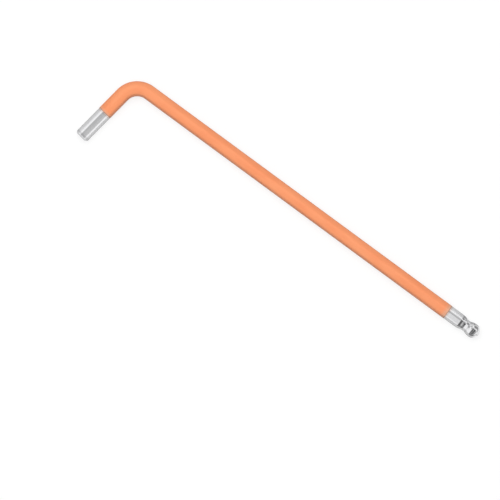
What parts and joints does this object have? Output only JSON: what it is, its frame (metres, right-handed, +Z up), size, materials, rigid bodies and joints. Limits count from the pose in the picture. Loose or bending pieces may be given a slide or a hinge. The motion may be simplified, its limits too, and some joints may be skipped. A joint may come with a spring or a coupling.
{
  "type": "hex key",
  "caption": "Long L-shaped hex key: bent hexagonal steel bar with an orange coat, a plain chamfered short end and a ball hex end.",
  "frame": {"origin": "under the middle of the key's box, on the surface that the key lies on", "axes": "+X along the long arm towards the ball end, +Y away from the short arm, +Z up, square to the plane of the two arms"},
  "size_m": [0.1684, 0.032, 0.0058],
  "materials": {
    "plated_steel": "bright satin plating over hardened steel",
    "coat": "satin orange coat with a very fine texture"
  },
  "bodies": {
    "root": {"hex_bar": "plated_steel", "orange_coat": "coat"}
  },
  "joints": []
}
